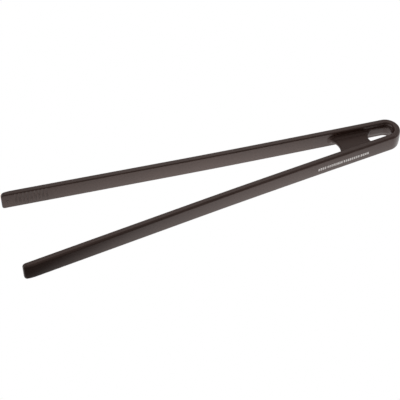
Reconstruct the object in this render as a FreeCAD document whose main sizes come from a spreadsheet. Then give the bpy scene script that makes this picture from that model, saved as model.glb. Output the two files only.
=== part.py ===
import FreeCAD, Part
import os

import Sketcher

# Kitchen tongs moulded in one shot as a hairpin. A plastic strip, taller than it is thick, runs from one grip tip
# along an arm, round a hanging loop and back along the other arm. A thinner web joins the two arms behind the
# crotch, so the loop stays stiff and the arms flex in front of it: the strip itself is the spring.
#
# Frame: +X from the grip tips to the hanging loop, +Y across, +Z up from the rest face. The origin is the centre of
# the overall box, on the rest face. "left" is -Y and "right" is +Y, as held with the tips pointing away.
#
# The flexing length of each arm is divided where its bending is gathered into knuckles: a round nose on the outer
# piece turns in a round socket on the inner one, about a vertical axis in the middle of the strip.
#
# Every strip piece is drawn lying along its own local +X, with local +Y on the side that faces the other arm and
# local Z = 0 at half the strip's height. Lengths are millimetres and angles are degrees.

SIZES = {
    "overall_length": 300.0,
    "strip_height": 13.8,
    "strip_thickness": 5.0,
    "edge_rounding": 1.4,
    # Hanging loop: outer radius, the straight legs that lead into the shoulders, and the lip round the slot.
    "loop_radius": 10.85,
    "loop_leg": 8.0,
    "lip_depth": 0.65,
    "lip_height": 7.0,
    # Angle of each stretch of arm to the centre plane. The arms open a little more towards the tips.
    "shoulder_flare": 4.6,
    "root_flare": 4.83,
    "mid_flare": 5.0,
    "arm_flare": 5.59,
    # Length of each stretch. The shank takes up what is left of the overall length.
    "shoulder_length": 53.6,
    "root_length": 36.0,
    "mid_length": 42.0,
    "tip_length": 48.0,
    # Knuckles: radial play of the nose, and how far the socket's lips stop short of its axis.
    "knuckle_clearance": 0.08,
    "knuckle_setback": 1.0,
    # Web: legs are measured along the arms' inner walls, centres back from the loop's centre.
    "web_thickness": 3.0,
    "web_rounding": 1.0,
    "web_rear_leg": 10.0,
    "web_front_leg": 47.0,
    "slot_centre": 7.5,
    "crotch_centre": 48.55,
    "crotch_radius": 10.5,
    # Grip tips: rounded end, outer face curving inwards, and a row of fine upright grooves on the inner face.
    "tip_corner": 2.0,
    "taper_length": 8.0,
    "taper_depth": 1.2,
    "groove_count": 9,
    "groove_pitch": 2.8,
    "groove_radius": 0.6,
    "groove_depth": 0.45,
    "groove_start": 10.5,
}

SIDES = {"left": -1, "right": 1}
TOLERANCE = 1e-4

doc = FreeCAD.newDocument("kitchen_tongs")


def make_sheet():
    """The spreadsheet with one row per driving size: its name, then its value."""
    sheet = doc.addObject("Spreadsheet::Sheet", "Sizes")
    for row, (name, value) in enumerate(SIZES.items(), start=1):
        sheet.set(f"A{row}", name)
        sheet.set(f"B{row}", str(value))
        sheet.setAlias(f"B{row}", name)
    doc.recompute()
    return sheet


# Expressions, as text, in terms of the sheet's names.


def cos(flare):
    return f"cos(Sizes.{flare} * 1 deg)"


def sin(flare):
    return f"sin(Sizes.{flare} * 1 deg)"


def leg_point(radius, leg, side):
    """A point beside the loop: radius out from the loop's centre, square to an arm, then leg along that arm."""
    x = f"({radius}) * {sin('shoulder_flare')} - ({leg}) * {cos('shoulder_flare')}"
    y = f"{side} * (({radius}) * {cos('shoulder_flare')} + ({leg}) * {sin('shoulder_flare')})"
    return x, y


HALF_THICKNESS = "Sizes.strip_thickness / 2"
LOOP_OUTER = "Sizes.loop_radius"
LOOP_MIDDLE = "Sizes.loop_radius - Sizes.strip_thickness / 2"
LOOP_INNER = "Sizes.loop_radius - Sizes.strip_thickness"
LIP_INNER = "Sizes.loop_radius - Sizes.strip_thickness - Sizes.lip_depth"
LOOP_CENTRE_X = "Sizes.overall_length / 2 - Sizes.loop_radius"
MID_HEIGHT = "Sizes.strip_height / 2"


# Features. Each function adds one to a body and binds its sizes to the sheet.


def new_body(name):
    body = doc.addObject("PartDesign::Body", name)
    body.Label = name
    return body


def new_sketch(body, name):
    """A sketch on the body's own XY plane, which is the strip's half-height plane."""
    sketch = body.newObject("Sketcher::SketchObject", f"{body.Name}_{name}")
    plane = next(item for item in body.Origin.OriginFeatures if item.Role == "XY_Plane")
    sketch.AttachmentSupport = [(plane, "")]
    sketch.MapMode = "FlatFace"
    return sketch


def bind(sketch, kind, label, expression, *where):
    """Adds a constraint of that kind, whose value follows an expression."""
    value = float(sketch.evalExpression(expression))
    index = sketch.addConstraint(Sketcher.Constraint(kind, *where, value))
    sketch.renameConstraint(index, label)
    sketch.setExpression(f"Constraints.{label}", expression)


def vector(sketch, x, y):
    """The point of a sketch whose coordinates are two expressions."""
    return FreeCAD.Vector(sketch.evalExpression(x), sketch.evalExpression(y), 0)


def draw_outline(sketch, corners, arcs=None):
    """A closed outline through corners, each an (x, y) pair of expressions. arcs maps the number of a corner to
    (middle point, x of the centre) where the edge from it to the next corner is round."""
    arcs = arcs or {}
    points = [vector(sketch, *corner) for corner in corners]
    count = len(points)
    # For each edge: its number, and which of its ends (1 or 2) begins and finishes it.
    edges = []
    for number, start in enumerate(points):
        end = points[(number + 1) % count]
        edges.append((number, 1, 2))
        if number not in arcs:
            sketch.addGeometry(Part.LineSegment(start, end), False)
            continue
        middle = vector(sketch, *arcs[number][0])
        # Sketched arcs run anticlockwise, so one that turns the other way is drawn from its far end.
        if (middle - start).cross(end - middle).z < 0:
            start, end = end, start
            edges[number] = (number, 2, 1)
        sketch.addGeometry(Part.Arc(start, middle, end), False)
    for number in range(count):
        edge, _, end = edges[number]
        following, start, _ = edges[(number + 1) % count]
        sketch.addConstraint(Sketcher.Constraint("Coincident", edge, end, following, start))
    for number, (x, y) in enumerate(corners):
        edge, start, _ = edges[number]
        bind(sketch, "DistanceX", f"corner_{number}_x", x, -1, 1, edge, start)
        bind(sketch, "DistanceY", f"corner_{number}_y", y, -1, 1, edge, start)
    for number, (_, centre_x) in arcs.items():
        bind(sketch, "DistanceX", f"arc_{number}_centre_x", centre_x, -1, 1, number, 3)


def draw_circle(sketch, x, y, radius):
    """A circle whose centre and radius are expressions."""
    index = sketch.addGeometry(Part.Circle(FreeCAD.Vector(1, 1, 0), FreeCAD.Vector(0, 0, 1), 1), False)
    bind(sketch, "DistanceX", f"centre_{index}_x", x, -1, 1, index, 3)
    bind(sketch, "DistanceY", f"centre_{index}_y", y, -1, 1, index, 3)
    bind(sketch, "Radius", f"radius_{index}", radius, index)


def pad(body, sketch, height):
    feature = body.newObject("PartDesign::Pad", f"{sketch.Name}_pad")
    feature.Profile = sketch
    feature.SideType = "Symmetric"
    feature.setExpression("Length", height)
    doc.recompute()
    return feature


def pocket_through(body, sketch):
    """Cuts the sketch through the whole body, and makes sure that it took something away."""
    before = body.Shape.Volume
    feature = body.newObject("PartDesign::Pocket", f"{sketch.Name}_pocket")
    feature.Profile = sketch
    feature.SideType = "Symmetric"
    feature.Type = "ThroughAll"
    doc.recompute()
    if not body.Shape.Volume < before - TOLERANCE:
        raise RuntimeError(f"{feature.Name} cuts nothing")
    return feature


def round_edges(body, base, name, radius, chosen):
    """Rounds the edges of base for which chosen(edge) is true."""
    edges = [f"Edge{i}" for i, edge in enumerate(base.Shape.Edges, start=1) if chosen(edge)]
    feature = body.newObject("PartDesign::Fillet", f"{body.Name}_{name}")
    feature.Base = (base, edges)
    feature.setExpression("Radius", radius)
    doc.recompute()
    return feature


def place(body, x, y, side, flare):
    """Lays a strip piece along its arm. The left arm's pieces are turned over, so that local +Y faces inwards."""
    yaw = f"180 - {side} * Sizes.{flare}"
    roll = 0 if side == SIDES["right"] else 180
    body.setExpression("Placement", f"placement(vector({x}; {y}; {MID_HEIGHT}); rotation({yaw}; 0; {roll}))")
    doc.recompute()


# Sub-parts.


def is_rim(sheet):
    """A test for the long edges at the strip's top and bottom, which leaves out the butt ends."""
    level = sheet.strip_height / 2

    def test(edge):
        flat = abs(abs(edge.CenterOfMass.z) - level) < TOLERANCE
        return flat and edge.Length > sheet.strip_thickness + TOLERANCE

    return test


def make_hanging_loop(sheet):
    """The round end of the hairpin, with a short straight leg on each side and a low lip round the slot."""
    body = new_body("hanging_loop")
    sketch = new_sketch(body, "outline")
    corners = [
        leg_point(LOOP_OUTER, "0", -1),
        leg_point(LOOP_OUTER, "0", 1),
        leg_point(LOOP_OUTER, "Sizes.loop_leg", 1),
        leg_point(LOOP_INNER, "Sizes.loop_leg", 1),
        leg_point(LOOP_INNER, "0", 1),
        leg_point(LOOP_INNER, "0", -1),
        leg_point(LOOP_INNER, "Sizes.loop_leg", -1),
        leg_point(LOOP_OUTER, "Sizes.loop_leg", -1),
    ]
    arcs = {0: ((LOOP_OUTER, "0"), "0"), 4: ((LOOP_INNER, "0"), "0")}
    draw_outline(sketch, corners, arcs)
    strip = pad(body, sketch, "Sizes.strip_height")
    round_edges(body, strip, "rounding", "Sizes.edge_rounding", is_rim(sheet))
    lip = new_sketch(body, "lip")
    corners = [
        leg_point(LOOP_MIDDLE, "0", -1),
        leg_point(LOOP_MIDDLE, "0", 1),
        leg_point(LOOP_MIDDLE, "Sizes.loop_leg", 1),
        leg_point(LIP_INNER, "Sizes.loop_leg", 1),
        leg_point(LIP_INNER, "0", 1),
        leg_point(LIP_INNER, "0", -1),
        leg_point(LIP_INNER, "Sizes.loop_leg", -1),
        leg_point(LOOP_MIDDLE, "Sizes.loop_leg", -1),
    ]
    arcs = {0: ((LOOP_MIDDLE, "0"), "0"), 4: ((LIP_INNER, "0"), "0")}
    draw_outline(lip, corners, arcs)
    pad(body, lip, "Sizes.lip_height")
    body.setExpression("Placement", f"placement(vector({LOOP_CENTRE_X}; 0; {MID_HEIGHT}); rotation(0; 0; 0))")
    doc.recompute()
    return body


def make_spring_web(sheet):
    """The thinner plate between the two shoulders. Its rear edge is the round end of the hanging slot, and its
    front edge is the crotch that the arms flex from."""
    body = new_body("spring_web")
    sketch = new_sketch(body, "outline")
    corners = [
        leg_point(LOOP_INNER, "Sizes.web_rear_leg", -1),
        leg_point(LOOP_INNER, "Sizes.web_rear_leg", 1),
        leg_point(LOOP_INNER, "Sizes.web_front_leg", 1),
        leg_point(LOOP_INNER, "Sizes.web_front_leg", -1),
    ]
    draw_outline(sketch, corners)
    pad(body, sketch, "Sizes.web_thickness")
    ends = new_sketch(body, "round_ends")
    slot_radius = f"{LOOP_INNER} + Sizes.slot_centre * {sin('shoulder_flare')}"
    draw_circle(ends, "-Sizes.slot_centre", "0", slot_radius)
    draw_circle(ends, "-Sizes.crotch_centre", "0", "Sizes.crotch_radius")
    cut = pocket_through(body, ends)
    level = sheet.web_thickness / 2

    def is_round_rim(edge):
        flat = abs(abs(edge.CenterOfMass.z) - level) < TOLERANCE
        return flat and isinstance(edge.Curve, Part.Circle)

    round_edges(body, cut, "rounding", "Sizes.web_rounding", is_round_rim)
    body.setExpression("Placement", f"placement(vector({LOOP_CENTRE_X}; 0; {MID_HEIGHT}); rotation(0; 0; 0))")
    doc.recompute()
    return body


def make_strip(name, length, nose, socket, sheet):
    """A straight stretch of arm, with a round nose about its own origin, a socket about its far end, or both."""
    body = new_body(name)
    sketch = new_sketch(body, "outline")
    end = f"{length} - Sizes.knuckle_setback" if socket else length
    corners = [
        ("0", f"-{HALF_THICKNESS}"),
        (end, f"-{HALF_THICKNESS}"),
        (end, HALF_THICKNESS),
        ("0", HALF_THICKNESS),
    ]
    arcs = {3: ((f"-{HALF_THICKNESS}", "0"), "0")} if nose else {}
    draw_outline(sketch, corners, arcs)
    strip = pad(body, sketch, "Sizes.strip_height")
    round_edges(body, strip, "rounding", "Sizes.edge_rounding", is_rim(sheet))
    if socket:
        hollow = new_sketch(body, "socket")
        draw_circle(hollow, length, "0", f"{HALF_THICKNESS} + Sizes.knuckle_clearance")
        pocket_through(body, hollow)
    return body


def make_grip_tip(name, sheet):
    """The last stretch of arm: rounded end, outer face curving inwards, grooved inner face."""
    body = new_body(name)
    sketch = new_sketch(body, "outline")
    taper_start = "Sizes.tip_length - Sizes.taper_length"
    corners = [
        ("0", f"-{HALF_THICKNESS}"),
        (taper_start, f"-{HALF_THICKNESS}"),
        ("Sizes.tip_length", f"Sizes.taper_depth - {HALF_THICKNESS}"),
        ("Sizes.tip_length", HALF_THICKNESS),
        ("0", HALF_THICKNESS),
    ]
    # The taper leaves the outer face on a tangent, and half way along it has come in by a quarter of its depth.
    middle = (f"{taper_start} + Sizes.taper_length / 2", f"Sizes.taper_depth / 4 - {HALF_THICKNESS}")
    draw_outline(sketch, corners, {1: (middle, taper_start)})
    strip = pad(body, sketch, "Sizes.strip_height")

    def is_end_corner(edge):
        box = edge.BoundBox
        across = box.YLength > sheet.taper_depth + TOLERANCE
        return across and box.XMin > sheet.tip_length - TOLERANCE

    end = round_edges(body, strip, "corners", "Sizes.tip_corner", is_end_corner)

    def is_side_rim(edge):
        box = edge.BoundBox
        across = box.YLength > sheet.taper_depth + TOLERANCE
        upright = box.XLength < TOLERANCE
        at_end = box.XMin > sheet.tip_length - TOLERANCE
        return not across and (at_end or not upright)

    round_edges(body, end, "rounding", "Sizes.edge_rounding", is_side_rim)
    groove = new_sketch(body, "groove")
    span = "Sizes.groove_pitch * (Sizes.groove_count - 1)"
    first_x = f"Sizes.tip_length - Sizes.groove_start - {span}"
    centre_y = f"{HALF_THICKNESS} + Sizes.groove_radius - Sizes.groove_depth"
    draw_circle(groove, first_x, centre_y, "Sizes.groove_radius")
    cut = pocket_through(body, groove)
    row = body.newObject("PartDesign::LinearPattern", f"{name}_groove_row")
    row.Originals = [cut]
    row.Direction = (next(item for item in body.Origin.OriginFeatures if item.Role == "X_Axis"), [""])
    row.setExpression("Length", span)
    row.setExpression("Occurrences", "Sizes.groove_count")
    before = body.Shape.Volume
    body.Tip = row
    doc.recompute()
    if not body.Shape.Volume < before - TOLERANCE:
        raise RuntimeError(f"{row.Name} repeats nothing")
    return body


def make_arm(side_name, side, sheet):
    """One side of the tongs, from the shoulder beside the web to the grip tip."""
    shoulder = make_strip(f"{side_name}_shoulder", "Sizes.shoulder_length", False, True, sheet)
    local_x, local_y = leg_point(LOOP_MIDDLE, "Sizes.loop_leg", side)
    place(shoulder, f"{LOOP_CENTRE_X} + {local_x}", local_y, side, "shoulder_flare")

    def following(body, length, flare):
        """Where the piece after body starts, length further along the arm."""
        x = f"{body.Name}.Placement.Base.x / 1 mm - ({length}) * {cos(flare)}"
        y = f"{body.Name}.Placement.Base.y / 1 mm + {side} * ({length}) * {sin(flare)}"
        return x, y

    root = make_strip(f"{side_name}_flex_root", "Sizes.root_length", True, True, sheet)
    root_x, root_y = following(shoulder, "Sizes.shoulder_length", "shoulder_flare")
    place(root, root_x, root_y, side, "root_flare")

    mid = make_strip(f"{side_name}_flex_mid", "Sizes.mid_length", True, True, sheet)
    mid_x, mid_y = following(root, "Sizes.root_length", "root_flare")
    place(mid, mid_x, mid_y, side, "mid_flare")

    # The shank and the tip lie in one line, and the tip's rounded inner corner ends at the overall length.
    arm_x, arm_y = following(mid, "Sizes.mid_length", "mid_flare")
    corner_y = f"({HALF_THICKNESS} - Sizes.edge_rounding) * {sin('arm_flare')}"
    reach = f"({arm_x} + Sizes.overall_length / 2 - {corner_y} - Sizes.edge_rounding) / {cos('arm_flare')}"
    shank_length = f"{reach} + Sizes.edge_rounding - Sizes.tip_length"
    shank = make_strip(f"{side_name}_shank", shank_length, True, False, sheet)
    place(shank, arm_x, arm_y, side, "arm_flare")

    tip = make_grip_tip(f"{side_name}_grip_tip", sheet)
    tip_x, tip_y = following(shank, shank_length, "arm_flare")
    place(tip, tip_x, tip_y, side, "arm_flare")
    return [shoulder, root, mid, shank, tip]


def check_document(bodies):
    """Stops before anything is written if a feature failed or a sub-part isn't one closed, valid solid."""
    for item in doc.Objects:
        if "Invalid" in item.State or "Error" in item.State:
            raise RuntimeError(f"{item.Name} failed: {item.State}")
    for body in bodies:
        shape = body.Shape
        if shape.isNull() or not shape.isValid() or len(shape.Solids) != 1:
            raise RuntimeError(f"{body.Name} isn't one valid solid")


def main():
    sheet = make_sheet()
    bodies = [make_hanging_loop(sheet), make_spring_web(sheet)]
    for side_name, side in SIDES.items():
        bodies += make_arm(side_name, side, sheet)
    doc.recompute()
    check_document(bodies)
    os.makedirs("parts", exist_ok=True)
    for body in bodies:
        body.Shape.exportStep(f"parts/{body.Label}.step")
        box = body.Shape.BoundBox
        print(f"{body.Label}: {box.XLength:.2f} x {box.YLength:.2f} x {box.ZLength:.2f} mm")


main()
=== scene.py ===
import math
from collections import namedtuple

import bmesh
import bpy
from mathutils import Matrix, Vector


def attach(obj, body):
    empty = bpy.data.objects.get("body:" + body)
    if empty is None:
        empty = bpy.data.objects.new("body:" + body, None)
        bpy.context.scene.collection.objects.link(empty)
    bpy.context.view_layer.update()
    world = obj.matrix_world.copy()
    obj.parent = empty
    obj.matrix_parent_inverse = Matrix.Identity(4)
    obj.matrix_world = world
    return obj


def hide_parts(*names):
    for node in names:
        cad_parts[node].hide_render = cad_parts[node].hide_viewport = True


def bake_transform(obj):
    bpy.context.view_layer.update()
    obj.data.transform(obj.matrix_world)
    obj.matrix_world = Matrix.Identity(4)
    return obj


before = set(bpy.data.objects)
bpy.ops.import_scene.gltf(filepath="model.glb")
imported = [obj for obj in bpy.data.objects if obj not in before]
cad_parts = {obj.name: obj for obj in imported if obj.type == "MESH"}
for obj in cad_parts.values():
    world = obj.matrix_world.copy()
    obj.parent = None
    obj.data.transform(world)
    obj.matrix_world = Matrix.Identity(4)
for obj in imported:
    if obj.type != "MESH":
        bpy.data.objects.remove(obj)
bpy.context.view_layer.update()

# One-piece kitchen tongs: a plastic strip bent into a hairpin, with a web across its head. Sizes are
# millimetres, and MM turns a point into Blender's metres. The materials and the stage are in metres.
# A point of the strip is given by its station, which is the distance along an arm from the end of the loop's
# bend, by inward, the distance from the middle of the strip towards the other arm, and by its height over
# the rest face.

MM = 0.001
SIDES = {"left": -1, "right": 1}
QUARTER_TURN = math.radians(90)

STRIP_HEIGHT = 13.8
STRIP_THICKNESS = 5.0
SIDE_CROWN = 0.3
OUTER_ROUNDING = 1.5
INNER_ROUNDING = 0.9
MID_HEIGHT = STRIP_HEIGHT / 2
HALF_THICKNESS = STRIP_THICKNESS / 2

# Steps round a corner. The points beside it stand FLAT_MARGIN away, or a share of the flat if that is
# narrow.
EDGE_STEPS = 8
CORNER_TURNS = [QUARTER_TURN * step / EDGE_STEPS for step in range(EDGE_STEPS + 1)]
FLAT_MARGIN = 0.3
MARGINS_PER_FLAT = 6

LOOP_RADIUS = 10.85
LOOP_CENTRE_X = 139.15
LOOP_STEPS = 60
HEAD_FLARE = math.radians(4.6)

# Where each bend of an arm is, how far it is spread to either side of that station, and the arm's angle to
# the centre plane after it.
Bend = namedtuple("Bend", "middle spread flare")
BENDS = (
    Bend(middle=61.6, spread=18.0, flare=math.radians(4.83)),
    Bend(middle=97.6, spread=18.0, flare=math.radians(5.0)),
    Bend(middle=139.6, spread=24.0, flare=math.radians(5.59)),
)
ARM_START = BENDS[0].middle - BENDS[0].spread
TIP_START = 242.912
TIP_END = 290.912

# Rings of points are about STATION_STEP apart. The middle line is worked out at every TABLE_STEP, to
# TABLE_MARGIN past the tip's end.
STATION_STEP = 1.5
TABLE_STEP = 0.1
TABLE_MARGIN = 1.0

# A lip round the slot, inside the loop: how far it stands in at the sides and at the loop's end, its share of
# that at heights over the middle of the strip, and the stations between which it dies away.
LIP_SIDE = 0.5
LIP_END = 1.05
LIP_LEVELS = (
    (5.2, 0.0),
    (4.7, 0.0),
    (4.4, 0.1),
    (4.05, 0.3),
    (3.7, 0.62),
    (3.45, 0.87),
    (3.2, 1.0),
    (1.5, 1.0),
)
LIP_FADE = (8.0, 18.0)

# The web. The slot's and the crotch's circles are centred so far back from the loop's centre.
WEB_THICKNESS = 3.0
WEB_ROUNDING = 1.0
WEB_FILLET = 2.2
WEB_EMBED = 0.4
WEB_COLUMNS = 72
WEB_ROWS = 14
SLOT_CENTRE = 7.5
CROTCH_CENTRE = 48.55
CROTCH_RADIUS = 10.5

# The grip tips. Places along them are distances back from the end.
TIP_TOP_CORNER = 2.8
TIP_FOOT_CORNER = 2.0
END_ROUNDING = 1.2
LEAST_ROUNDING = 0.05
END_REACH = 0.1
END_LEAN = 0.2
LEAN_LENGTH = 8.0
TAPER_LENGTH = 8.0
TAPER_DEPTH = 1.2
GROOVE_COUNT = 9
GROOVE_PITCH = 2.8
GROOVE_START = 10.5
GROOVE_RADIUS = 0.6
GROOVE_DEPTH = 0.45

# Where the tip's rings lie: close together round the end, then evenly up to the grooves, at shares of each
# groove's half width, and evenly again behind the grooves.
END_BACKS = (0.0, 0.03, 0.1, 0.2, 0.33, 0.5, 0.8, 1.1, 1.5, 2.0, 2.6)
PLAIN_START = 3.2
PLAIN_STEP = 0.8
GROOVE_MARGIN = 0.7
GROOVE_SHARES = (-1.25, -1, -0.85, -0.6, -0.3, 0, 0.3, 0.6, 0.85, 1, 1.25)
GROOVES_TO_PLAIN = 1.2


# The strip's middle line.


def arc_end():
    """Where the loop's bend ends and the right arm starts."""
    radius = LOOP_RADIUS - HALF_THICKNESS
    return Vector((LOOP_CENTRE_X + radius * math.sin(HEAD_FLARE), radius * math.cos(HEAD_FLARE)))


def heading(station):
    """The right arm's angle to the centre plane at a station."""
    angle = HEAD_FLARE
    for bend in BENDS:
        share = (station - bend.middle + bend.spread) / (2 * bend.spread)
        share = min(1.0, max(0.0, share))
        angle += share * (bend.flare - angle)
    return angle


def make_table():
    """The right arm's middle line at every TABLE_STEP."""
    points = [arc_end()]
    count = round((TIP_END + TABLE_MARGIN) / TABLE_STEP)
    for index in range(count):
        angle = heading((index + 0.5) * TABLE_STEP)
        points.append(points[-1] + TABLE_STEP * Vector((-math.cos(angle), math.sin(angle))))
    return points


MIDDLE_LINE = make_table()


def on_arm(side, station, inward, height):
    """The point of an arm at a station, so far inwards of its middle line, at a height."""
    place = station / TABLE_STEP
    index = min(int(place), len(MIDDLE_LINE) - 2)
    middle = MIDDLE_LINE[index].lerp(MIDDLE_LINE[index + 1], place - index)
    angle = heading(station)
    x = middle.x - inward * math.sin(angle)
    y = middle.y - inward * math.cos(angle)
    return Vector((x, side * y, height))


def on_loop(angle, inward, height):
    """The point of the loop's bend at an angle from +X."""
    radius = LOOP_RADIUS - HALF_THICKNESS - inward
    return Vector((LOOP_CENTRE_X + radius * math.cos(angle), radius * math.sin(angle), height))


# Meshes.

SHARP_ANGLE = math.radians(38)


def make_object(name, shell, material):
    """An object from a bmesh, which this frees."""
    mesh = bpy.data.meshes.new(name)
    bmesh.ops.recalc_face_normals(shell, faces=shell.faces)
    shell.to_mesh(mesh)
    shell.free()
    mesh.materials.append(material)
    piece = bpy.data.objects.new(name, mesh)
    bpy.context.scene.collection.objects.link(piece)
    return piece


def new_piece(name, rings, material):
    """A closed smooth piece through rings of points in millimetres, all with the same number of points."""
    shell = bmesh.new()
    rows = [[shell.verts.new(point * MM) for point in ring] for ring in rings]
    count = len(rows[0])
    for row, following in zip(rows, rows[1:]):
        for number in range(count):
            beside = (number + 1) % count
            shell.faces.new((row[number], row[beside], following[beside], following[number]))
    shell.faces.new(rows[0])
    shell.faces.new(rows[-1])
    piece = make_object(name, shell, material)
    piece.data.shade_smooth()
    piece.data.set_sharp_from_angle(angle=SHARP_ANGLE)
    return piece


def face_heights(high, margin):
    """Heights of the points up a plain side face, which ends at high over and under the middle."""
    return [-high + margin, -high / 2, 0.0, high / 2, high - margin]


def lip_points(inner, lip):
    """Points up the inner face where the lip stands in from it."""
    lower = [(inner + share * lip, -height) for height, share in LIP_LEVELS]
    upper = [(inner + share * lip, height) for height, share in reversed(LIP_LEVELS)]
    return lower + [(inner + lip, 0.0)] + upper


def corner_points(inward, height, across, up):
    """Points round a corner whose centre is at an inward and a height, from its side to its top or bottom.
    Across and up are its radius, with a sign for the way that it faces."""
    return [(inward + across * math.cos(turn), height + up * math.sin(turn)) for turn in CORNER_TURNS]


def section(outer, inner, half_height, outer_radius, inner_radius, lip=None):
    """A rectangle with rounded corners and slightly bulging sides, as (inward, height over the middle) pairs.
    Points next to each rounding keep the shading of the flats apart from it."""
    margin = min(FLAT_MARGIN, (inner - outer - outer_radius - inner_radius) / MARGINS_PER_FLAT)
    middle = (inner + outer) / 2
    inner_centre = inner - inner_radius
    outer_centre = outer + outer_radius
    inner_high = half_height - inner_radius
    outer_high = half_height - outer_radius
    flat = [inner_centre - margin, middle, outer_centre + margin]
    # Inner face upwards, then the top outwards, the outer face downwards, and the bottom inwards.
    if lip is None:
        points = [(inner, height) for height in face_heights(inner_high, margin)]
    else:
        points = lip_points(inner, lip)
    points += corner_points(inner_centre, inner_high, inner_radius, inner_radius)
    points += [(inward, half_height) for inward in flat]
    points += reversed(corner_points(outer_centre, outer_high, -outer_radius, outer_radius))
    points += [(outer, height) for height in reversed(face_heights(outer_high, margin))]
    points += corner_points(outer_centre, -outer_high, -outer_radius, -outer_radius)
    points += [(inward, -half_height) for inward in reversed(flat)]
    points += reversed(corner_points(inner_centre, -inner_high, inner_radius, -inner_radius))
    crown = SIDE_CROWN / HALF_THICKNESS
    crowned = []
    for inward, height in points:
        width = 1 - crown * (height / half_height) ** 2
        crowned.append((middle + (inward - middle) * width, height))
    return crowned


def strip_section(lip=None):
    """The strip's own section, with a lip on its inner face if one is given."""
    return section(-HALF_THICKNESS, HALF_THICKNESS, MID_HEIGHT, OUTER_ROUNDING, INNER_ROUNDING, lip)


PLAIN_SECTION = strip_section()


def side_lip(station):
    """The strip's section beside the slot and the web, where the lip dies away towards the crotch."""
    first, last = LIP_FADE
    share = min(1.0, max(0.0, (last - station) / (last - first)))
    return strip_section(LIP_SIDE * share)


def spaced(first, last, step):
    """Numbers from first to last, evenly spaced, about a step apart."""
    count = max(1, round(abs(last - first) / step))
    return [first + (last - first) * index / count for index in range(count + 1)]


def strip_ring(side, station, outline=PLAIN_SECTION):
    """The ring of points round an arm at a station."""
    return [on_arm(side, station, inward, MID_HEIGHT + height) for inward, height in outline]


def make_stretch(name, side, first, last, material):
    """A plain stretch of one arm between two stations."""
    rings = [strip_ring(side, station) for station in spaced(first, last, STATION_STEP)]
    return new_piece(name, rings, material)


def make_loop(material):
    """The hairpin's bend and the stiff part of both arms, beside the web."""
    half_turn = QUARTER_TURN - HEAD_FLARE
    left, right = SIDES["left"], SIDES["right"]
    stations = spaced(0.0, ARM_START, STATION_STEP)[1:]
    rings = [strip_ring(left, station, side_lip(station)) for station in reversed(stations)]
    for step in range(LOOP_STEPS + 1):
        angle = half_turn * (2 * step / LOOP_STEPS - 1)
        outline = strip_section(LIP_SIDE + (LIP_END - LIP_SIDE) * math.cos(angle) ** 2)
        rings.append([on_loop(angle, inward, MID_HEIGHT + height) for inward, height in outline])
    rings += [strip_ring(right, station, side_lip(station)) for station in stations]
    return new_piece("loop_and_shoulders", rings, material)


def web_edge(centre, radius, way):
    """A rounded edge of the web, one way from the centre of its circle, from the web's side to its top."""
    flat = WEB_THICKNESS / 2 - WEB_ROUNDING
    edge = []
    for turn in CORNER_TURNS:
        distance = radius + WEB_ROUNDING * (1 - math.cos(turn))
        edge.append((centre + distance * way, flat + WEB_ROUNDING * math.sin(turn)))
    return edge


def web_column(share):
    """The ring of points round the web at one share of its width, from -1 at the left wall to 1 at the right,
    and the way to the nearer wall. A point is a place from the loop's centre and a height over the middle."""
    wall = LOOP_RADIUS - STRIP_THICKNESS
    slot_radius = wall + SLOT_CENTRE * math.sin(HEAD_FLARE)
    slot_turn = share * (QUARTER_TURN + HEAD_FLARE)
    slot_way = Vector((-math.cos(slot_turn), math.sin(slot_turn)))
    slot_edge = web_edge(Vector((-SLOT_CENTRE, 0)), slot_radius, slot_way)
    meeting = math.asin((wall + CROTCH_CENTRE * math.sin(HEAD_FLARE)) / CROTCH_RADIUS)
    crotch_turn = share * (meeting - HEAD_FLARE)
    crotch_way = Vector((math.cos(crotch_turn), math.sin(crotch_turn)))
    crotch_edge = web_edge(Vector((-CROTCH_CENTRE, 0)), CROTCH_RADIUS, crotch_way)
    half = WEB_THICKNESS / 2
    slot_top, crotch_top = slot_edge[-1][0], crotch_edge[-1][0]
    top = [(slot_top.lerp(crotch_top, row / WEB_ROWS), half) for row in range(1, WEB_ROWS)]
    side = 1 if share >= 0 else -1
    normal = Vector((math.sin(HEAD_FLARE), side * math.cos(HEAD_FLARE)))
    ring = []
    for place, height in slot_edge + top + crotch_edge[::-1]:
        gap = wall - LIP_SIDE - place.dot(normal)
        near = min(WEB_FILLET, max(0.0, WEB_FILLET - gap))
        rise = WEB_FILLET - math.sqrt(WEB_FILLET**2 - near**2)
        ring.append((place, height * (half + rise) / half))
    ring += [(place, -height) for place, height in reversed(ring)]
    return ring, normal


def web_ring(ring, offset):
    """A column's points in the object's own place, moved by an offset."""
    points = [(place + offset, height) for place, height in ring]
    return [Vector((LOOP_CENTRE_X + place.x, place.y, MID_HEIGHT + height)) for place, height in points]


def make_web(material):
    """The thin plate between the shoulders. Its ends are sunk into the walls of the strip."""
    rings = []
    for column in range(WEB_COLUMNS + 1):
        ring, normal = web_column(2 * column / WEB_COLUMNS - 1)
        if column == 0:
            rings.append(web_ring(ring, WEB_EMBED * normal))
        rings.append(web_ring(ring, Vector((0, 0))))
        if column == WEB_COLUMNS:
            rings.append(web_ring(ring, WEB_EMBED * normal))
    return new_piece("web_plate", rings, material)


def groove_level(back):
    """How far inwards of the middle line the inner face lies, at a distance back from the tip's end."""
    level = HALF_THICKNESS
    for number in range(GROOVE_COUNT):
        away = back - GROOVE_START - number * GROOVE_PITCH
        if abs(away) < GROOVE_RADIUS:
            floor = HALF_THICKNESS + GROOVE_RADIUS - GROOVE_DEPTH - math.sqrt(GROOVE_RADIUS**2 - away**2)
            level = min(level, floor)
    return level


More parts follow.
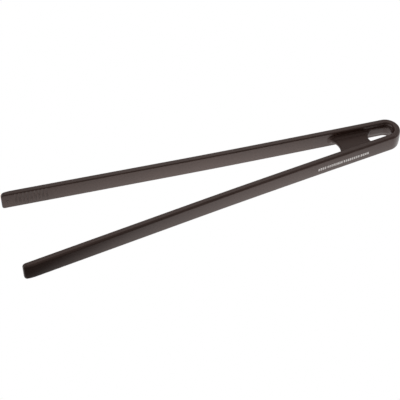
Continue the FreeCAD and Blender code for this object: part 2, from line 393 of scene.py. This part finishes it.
def tip_backs():
    """Distances back from the tip's end, the furthest first."""
    length = TIP_END - TIP_START
    backs = {*END_BACKS, length}
    backs.update(spaced(PLAIN_START, GROOVE_START - GROOVE_MARGIN, PLAIN_STEP))
    reach = math.sqrt(GROOVE_RADIUS**2 - (GROOVE_RADIUS - GROOVE_DEPTH) ** 2)
    for number in range(GROOVE_COUNT):
        middle = GROOVE_START + number * GROOVE_PITCH
        backs.update(middle + reach * share for share in GROOVE_SHARES)
        backs.add(middle + GROOVE_PITCH / 2)
    last = GROOVE_START + (GROOVE_COUNT - 0.5) * GROOVE_PITCH
    backs.update(spaced(last + GROOVES_TO_PLAIN, length, STATION_STEP))
    return sorted(backs, reverse=True)


def corner_drop(radius, back):
    """How far a corner of that radius falls short, at a distance back from the end."""
    if back >= radius:
        return 0.0
    return radius - math.sqrt(radius**2 - (radius - back) ** 2)


def end_shift(back, height):
    """How much further out a point of the tip lies, since the end leans and its foot reaches furthest."""
    share = max(0.0, 1 - back / LEAN_LENGTH)
    return share * (END_REACH + END_LEAN * (1 - height / MID_HEIGHT))


def make_grip_end(name, side, material):
    """The last stretch of an arm: grooved inner face, outer face curving inwards, rounded end."""
    rings = []
    for back in tip_backs():
        inset = corner_drop(END_ROUNDING, back)
        top_drop = corner_drop(TIP_TOP_CORNER, back)
        foot_drop = corner_drop(TIP_FOOT_CORNER, back)
        half_height = MID_HEIGHT - (top_drop + foot_drop) / 2
        centre = MID_HEIGHT + (foot_drop - top_drop) / 2
        taper = TAPER_DEPTH * max(0.0, 1 - back / TAPER_LENGTH) ** 2
        outer_radius = max(OUTER_ROUNDING - inset, LEAST_ROUNDING)
        inner_radius = max(INNER_ROUNDING - inset, LEAST_ROUNDING)
        outer = taper + inset - HALF_THICKNESS
        inner = HALF_THICKNESS - inset
        level = groove_level(back)
        ring = []
        for inward, height in section(outer, inner, half_height, outer_radius, inner_radius):
            station = TIP_END - back + end_shift(back, centre + height)
            ring.append(on_arm(side, station, min(inward, level), centre + height))
        rings.append(ring)
    return new_piece(name, rings, material)


# Round mark that a mould's pin leaves on the right grip's inner face: its place, and its outline as pairs of
# radius and height over the face.

PIN_BACK = 4.4
PIN_HEIGHT = 7.1
PIN_STEPS = 32
PIN_PROFILE = (
    (1.05, -0.1),
    (1.05, 0.05),
    (1.0, 0.1),
    (0.9, 0.13),
    (0.72, 0.13),
    (0.62, 0.07),
    (0.5, 0.03),
)


def make_pin_mark(name, side, material):
    """A low ring round a shallow dimple."""
    rings = []
    for radius, proud in PIN_PROFILE:
        ring = []
        for step in range(PIN_STEPS):
            turn = math.tau * step / PIN_STEPS
            station = TIP_END - PIN_BACK + radius * math.cos(turn)
            height = PIN_HEIGHT + radius * math.sin(turn)
            ring.append(on_arm(side, station, HALF_THICKNESS + proud, height))
        rings.append(ring)
    return new_piece(name, rings, material)


# Printed line on the left arm's outer face. The real one is lettering, and plain strokes stand for it. Each
# group of strokes runs from one station to another.

PRINT_GROUPS = ((20.6, 27.5), (28.6, 42.0), (43.0, 55.7), (56.8, 63.3))
PRINT_HEIGHT = 2.4
PRINT_MIDDLE = 6.55
PRINT_STROKE = 1.15
PRINT_GAP = 0.55
PRINT_PROUD = 0.03
PRINT_SUNK = 0.05


def add_stroke(shell, start, stop):
    """A flat box of ink between two stations, sunk a little into the face."""
    low, high = PRINT_MIDDLE - PRINT_HEIGHT / 2, PRINT_MIDDLE + PRINT_HEIGHT / 2
    corners = []
    for inward in (-HALF_THICKNESS + PRINT_SUNK, -HALF_THICKNESS - PRINT_PROUD):
        for station, height in ((start, low), (stop, low), (stop, high), (start, high)):
            corners.append(shell.verts.new(on_arm(SIDES["left"], station, inward, height) * MM))
    back, front = corners[:4], corners[4:]
    shell.faces.new(back)
    shell.faces.new(front)
    for one in range(4):
        other = (one + 1) % 4
        shell.faces.new((back[one], back[other], front[other], front[one]))


def make_print(material):
    """Groups of short strokes of ink, a hair proud of the plastic."""
    shell = bmesh.new()
    for first, last in PRINT_GROUPS:
        count = round((last - first + PRINT_GAP) / (PRINT_STROKE + PRINT_GAP))
        pitch = (last - first + PRINT_GAP) / count
        for number in range(count):
            start = first + number * pitch
            add_stroke(shell, start, start + pitch - PRINT_GAP)
    piece = make_object("side_print", shell, material)
    return piece


# Materials. A noise is its scale per metre, detail, roughness and stretch along each axis. Colours are given
# at places along a tone from 0 to 1. A bump is its strength and its depth in metres.

EVEN = (1, 1, 1)
CLOUD = (45, 3, 0.5, EVEN)
FLOW = (260, 4, 0.6, (0.12, 1, 1))
GRAIN = (3800, 2, 0.5, EVEN)
SCUFF = (900, 3, 0.65, (0.1, 1, 1))
CLOUD_SHARE = 0.55
FLOW_SHARE = 0.45
CLOUD_BUMP = (0.5, 0.00012)
FLOW_BUMP = (0.35, 0.00003)
GRAIN_BUMP = (0.25, 0.000006)
PLASTIC_COLOURS = (
    (0.3, (0.029, 0.0142, 0.0104)),
    (0.5, (0.036, 0.0180, 0.0134)),
    (0.7, (0.043, 0.0222, 0.0168)),
)
TONE_REACH = (0.3, 0.7)
STRIP_ROUGHNESS = (0.31, 0.39)
WEB_ROUGHNESS = (0.5, 0.58)
SCUFF_REACH = (0.6, 0.8)
SCUFF_ROUGHNESS = (0.0, 0.16)
PLASTIC_IOR = 1.5
PLASTIC_SPECULAR_TINT = (1.0, 0.84, 0.79, 1.0)

INK_COVER = (1400, 3, 0.5, EVEN)
INK_COLOURS = ((0.3, (0.42, 0.39, 0.37)), (0.6, (0.66, 0.62, 0.60)))
INK_REACH = (0.3, 0.7)
INK_ROUGHNESS = (0.45, 0.65)
INK_BUMP = (0.3, 0.00001)
INK_IOR = 1.45


def new_material(name):
    """A new material, its node tree and its shader."""
    material = bpy.data.materials.new(name)
    material.use_nodes = True
    shader = material.node_tree.nodes["Principled BSDF"]
    return material, material.node_tree, shader


def object_coordinates(tree):
    """The point of the surface in the object's own metres."""
    return tree.nodes.new("ShaderNodeTexCoord").outputs["Object"]


def noise(tree, coordinates, scale, detail, roughness, stretch):
    """A noise texture, stretched along an axis if asked."""
    mapping = tree.nodes.new("ShaderNodeMapping")
    mapping.inputs["Scale"].default_value = stretch
    tree.links.new(coordinates, mapping.inputs["Vector"])
    texture = tree.nodes.new("ShaderNodeTexNoise")
    texture.inputs["Scale"].default_value = scale
    texture.inputs["Detail"].default_value = detail
    texture.inputs["Roughness"].default_value = roughness
    tree.links.new(mapping.outputs["Vector"], texture.inputs["Vector"])
    return texture.outputs["Fac"]


def map_range(tree, value, reach, result):
    """Maps one range of a value onto another."""
    node = tree.nodes.new("ShaderNodeMapRange")
    for name, number in zip(("From Min", "From Max", "To Min", "To Max"), (*reach, *result)):
        node.inputs[name].default_value = number
    tree.links.new(value, node.inputs["Value"])
    return node.outputs["Result"]


def ramp(tree, value, stops):
    """Colours along a value."""
    node = tree.nodes.new("ShaderNodeValToRGB")
    elements = node.color_ramp.elements
    while len(elements) < len(stops):
        elements.new(0.5)
    for element, (position, colour) in zip(elements, stops):
        element.position = position
        element.color = (*colour, 1.0)
    tree.links.new(value, node.inputs["Fac"])
    return node.outputs["Color"]


def math_node(tree, operation, first, second):
    """The result of an operation on two sockets or numbers."""
    node = tree.nodes.new("ShaderNodeMath")
    node.operation = operation
    for socket, value in zip(node.inputs, (first, second)):
        if isinstance(value, bpy.types.NodeSocket):
            tree.links.new(value, socket)
        else:
            socket.default_value = value
    return node.outputs["Value"]


def bump(tree, height, strength, distance, under=None):
    """A surface normal with bumps of that height, over another normal if one is given."""
    node = tree.nodes.new("ShaderNodeBump")
    node.inputs["Strength"].default_value = strength
    node.inputs["Distance"].default_value = distance
    tree.links.new(height, node.inputs["Height"])
    if under is not None:
        tree.links.new(under, node.inputs["Normal"])
    return node.outputs["Normal"]


def make_plastic(name, roughness):
    """Dark brown moulded plastic with a soft gloss, faint flow along the strip, and light scuffs."""
    material, tree, shader = new_material(name)
    coordinates = object_coordinates(tree)
    cloud = noise(tree, coordinates, *CLOUD)
    flow = noise(tree, coordinates, *FLOW)
    grain = noise(tree, coordinates, *GRAIN)
    scuff = noise(tree, coordinates, *SCUFF)
    cloud_part = math_node(tree, "MULTIPLY", cloud, CLOUD_SHARE)
    flow_part = math_node(tree, "MULTIPLY", flow, FLOW_SHARE)
    tone = math_node(tree, "ADD", cloud_part, flow_part)
    tree.links.new(ramp(tree, tone, PLASTIC_COLOURS), shader.inputs["Base Color"])
    smooth = map_range(tree, tone, TONE_REACH, roughness)
    scuffed = map_range(tree, scuff, SCUFF_REACH, SCUFF_ROUGHNESS)
    tree.links.new(math_node(tree, "ADD", smooth, scuffed), shader.inputs["Roughness"])
    normal = bump(tree, cloud, *CLOUD_BUMP)
    normal = bump(tree, flow, *FLOW_BUMP, normal)
    normal = bump(tree, grain, *GRAIN_BUMP, normal)
    tree.links.new(normal, shader.inputs["Normal"])
    shader.inputs["IOR"].default_value = PLASTIC_IOR
    shader.inputs["Specular Tint"].default_value = PLASTIC_SPECULAR_TINT
    return material


def make_ink():
    """Matt pale grey ink, a little thin in places."""
    material, tree, shader = new_material("pad_print")
    cover = noise(tree, object_coordinates(tree), *INK_COVER)
    tree.links.new(ramp(tree, cover, INK_COLOURS), shader.inputs["Base Color"])
    tree.links.new(map_range(tree, cover, INK_REACH, INK_ROUGHNESS), shader.inputs["Roughness"])
    tree.links.new(bump(tree, cover, *INK_BUMP), shader.inputs["Normal"])
    shader.inputs["IOR"].default_value = INK_IOR
    return material


# Stage: floor, light and camera, in metres.

FLOOR_SIZE = 12.0
FLOOR_LEVEL = -0.0001
FLOOR_GLOW = 1.0
CARD_LEVEL = -0.0006

# The card's two gradients: each runs along X + slant * Y, over a reach, and the card glows at their product.
# Levels are pairs of a share of the reach and the glow there.
ROOM_SLANT = 0.5
ROOM_REACH = (-0.15, 0.13)
ROOM_LEVELS = (
    (0.0, 1.0),
    (0.12, 1.05),
    (0.3, 1.26),
    (0.41, 1.37),
    (0.55, 1.46),
    (0.7, 1.46),
    (1.0, 1.12),
)
CORNER_SLANT = 7.0
CORNER_REACH = (-0.44, 0.08)
CORNER_LEVELS = (
    (0.0, 0.09),
    (0.029, 0.17),
    (0.077, 0.42),
    (0.106, 0.57),
    (0.173, 0.76),
    (0.231, 0.97),
    (0.6, 1.0),
    (1.0, 1.2),
)


def new_plane(name, level, material):
    """A level square of the stage, centred under the object."""
    mesh = bpy.data.meshes.new(name)
    half = FLOOR_SIZE / 2
    corners = [(x, y, level) for x, y in ((-half, -half), (half, -half), (half, half), (-half, half))]
    mesh.from_pydata(corners, [], [(0, 1, 2, 3)])
    mesh.materials.append(material)
    plane = bpy.data.objects.new(name, mesh)
    bpy.context.scene.collection.objects.link(plane)
    return plane


def new_glow(name):
    """A new material that only glows, its node tree and its glow."""
    material = bpy.data.materials.new(name)
    material.use_nodes = True
    tree = material.node_tree
    tree.nodes.clear()
    output = tree.nodes.new("ShaderNodeOutputMaterial")
    glow = tree.nodes.new("ShaderNodeEmission")
    tree.links.new(glow.outputs["Emission"], output.inputs["Surface"])
    return material, tree, glow


def gradient(tree, slant, reach, levels):
    """A value that runs through levels as X + slant * Y crosses its reach."""
    parts = tree.nodes.new("ShaderNodeSeparateXYZ")
    tree.links.new(object_coordinates(tree), parts.inputs["Vector"])
    across = math_node(tree, "MULTIPLY", parts.outputs["Y"], slant)
    along = math_node(tree, "ADD", parts.outputs["X"], across)
    place = map_range(tree, along, reach, (0.0, 1.0))
    return ramp(tree, place, [(position, (level,) * 3) for position, level in levels])


def make_floor():
    """A white light table, which only the camera sees."""
    white, _, glow = new_glow("white_floor")
    glow.inputs["Strength"].default_value = FLOOR_GLOW
    floor = new_plane("floor", FLOOR_LEVEL, white)
    floor.visible_diffuse = False
    floor.visible_glossy = False
    floor.visible_shadow = False


def make_card():
    """The card that lights the object from below, unseen by the camera. It fades towards the corner in front
    of the left arm's tip."""
    graded, tree, glow = new_glow("graded_card")
    room = gradient(tree, ROOM_SLANT, ROOM_REACH, ROOM_LEVELS)
    corner = gradient(tree, CORNER_SLANT, CORNER_REACH, CORNER_LEVELS)
    tree.links.new(math_node(tree, "MULTIPLY", room, corner), glow.inputs["Strength"])
    card = new_plane("floor_card", CARD_LEVEL, graded)
    card.visible_camera = False


# Soft lights that face the object: name, place, width, height, and radiance.
SOFTBOXES = (
    ("back_softbox", (0.42, 1.44, 1.4), 1.1, 1.3, 1.0),
    ("left_softbox", (-1.3, 1.1, 0.8), 1.2, 1.2, 0.65),
    ("right_softbox", (1.5, 0.2, 1.1), 1.2, 1.2, 1.2),
)
WORLD_COLOUR = (1, 1, 1, 1)
WORLD_LIGHT = 0.38


def new_softbox(name, place, width, height, radiance):
    """A rectangular soft light that faces the object's origin and has a given radiance."""
    light = bpy.data.lights.new(name, "AREA")
    light.shape = "RECTANGLE"
    light.size = width
    light.size_y = height
    light.energy = radiance * math.pi * width * height
    lamp = bpy.data.objects.new(name, light)
    lamp.location = place
    lamp.rotation_euler = (-Vector(place)).to_track_quat("-Z", "Y").to_euler()
    lamp.visible_camera = False
    bpy.context.scene.collection.objects.link(lamp)


def make_lights():
    """The softboxes, and an even light from all round."""
    for softbox in SOFTBOXES:
        new_softbox(*softbox)
    world = bpy.data.worlds.new("studio")
    bpy.context.scene.world = world
    world.use_nodes = True
    background = world.node_tree.nodes["Background"]
    background.inputs["Color"].default_value = WORLD_COLOUR
    background.inputs["Strength"].default_value = WORLD_LIGHT


CAMERA_AZIMUTH = math.radians(19.373)
CAMERA_ELEVATION = math.radians(48.689)
CAMERA_ROLL = math.radians(-0.464)
CAMERA_DISTANCE = 0.77530
CAMERA_TARGET = Vector((-0.01316, -0.00810, 0.0))
CAMERA_LENS = 95.803
CAMERA_SENSOR = 36.0


def make_camera():
    """The camera looks down at the target from the left arm's side, a little towards the tips."""
    data = bpy.data.cameras.new("camera")
    data.lens = CAMERA_LENS
    data.sensor_width = CAMERA_SENSOR
    camera = bpy.data.objects.new("camera", data)
    sine, cosine = math.sin(CAMERA_AZIMUTH), math.cos(CAMERA_AZIMUTH)
    flat = math.cos(CAMERA_ELEVATION)
    ahead = Vector((sine * flat, cosine * flat, -math.sin(CAMERA_ELEVATION)))
    right = Vector((cosine, -sine, 0.0))
    up = right.cross(ahead)
    turned_right = right * math.cos(CAMERA_ROLL) + up * math.sin(CAMERA_ROLL)
    turned_up = up * math.cos(CAMERA_ROLL) - right * math.sin(CAMERA_ROLL)
    axes = Matrix((turned_right, turned_up, -ahead)).transposed().to_4x4()
    camera.matrix_world = Matrix.Translation(CAMERA_TARGET - CAMERA_DISTANCE * ahead) @ axes
    bpy.context.scene.collection.objects.link(camera)
    bpy.context.scene.camera = camera


# The object, piece by piece.


def bend_with(piece, side, bend):
    """Bakes a piece's place into its mesh. The points where one bend of an arm starts and ends are worked
    out, but nothing uses them.
    """
    start = on_arm(side, bend.middle - bend.spread, 0.0, MID_HEIGHT) * MM
    end = on_arm(side, bend.middle + bend.spread, 0.0, MID_HEIGHT) * MM
    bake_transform(piece)


def make_arm(name, side, plastic):
    """One arm in front of the web: three stretches round its bends, a straight one, and the grip end."""
    stations = [ARM_START] + [bend.middle + bend.spread for bend in BENDS]
    bodies = ["head", f"{name}_root", f"{name}_mid", f"{name}_arm"]
    flexures = (("root_flexure", "flex_root"), ("mid_flexure", "flex_mid"), ("arm_flexure", "shank"))
    for number, (part, node) in enumerate(flexures):
        piece = make_stretch(f"{name}_{part}", side, stations[number], stations[number + 1], plastic)
        bend_with(piece, side, BENDS[number])
        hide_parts(f"{name}_{node}")
    straight = make_stretch(f"{name}_arm_shank", side, stations[-1], TIP_START, plastic)
    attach(straight, bodies[-1])
    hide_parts(f"{name}_shank")
    grip = make_grip_end(f"{name}_grip_end", side, plastic)
    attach(grip, bodies[-1])
    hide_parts(f"{name}_grip_tip")


def main():
    """The object on its stage."""
    plastic = make_plastic("moulded_plastic", STRIP_ROUGHNESS)
    loop = make_loop(plastic)
    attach(loop, "head")
    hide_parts("hanging_loop", "left_shoulder", "right_shoulder")
    web = make_web(make_plastic("moulded_plastic_satin", WEB_ROUGHNESS))
    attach(web, "head")
    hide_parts("spring_web")
    for name, side in SIDES.items():
        make_arm(name, side, plastic)
    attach(make_pin_mark("right_pin_mark", SIDES["right"], plastic), "right_arm")
    ink = make_print(make_ink())
    bend_with(ink, SIDES["left"], BENDS[0])
    make_floor()
    make_card()
    make_lights()
    make_camera()
    bpy.context.scene.view_settings.view_transform = "Standard"


main()
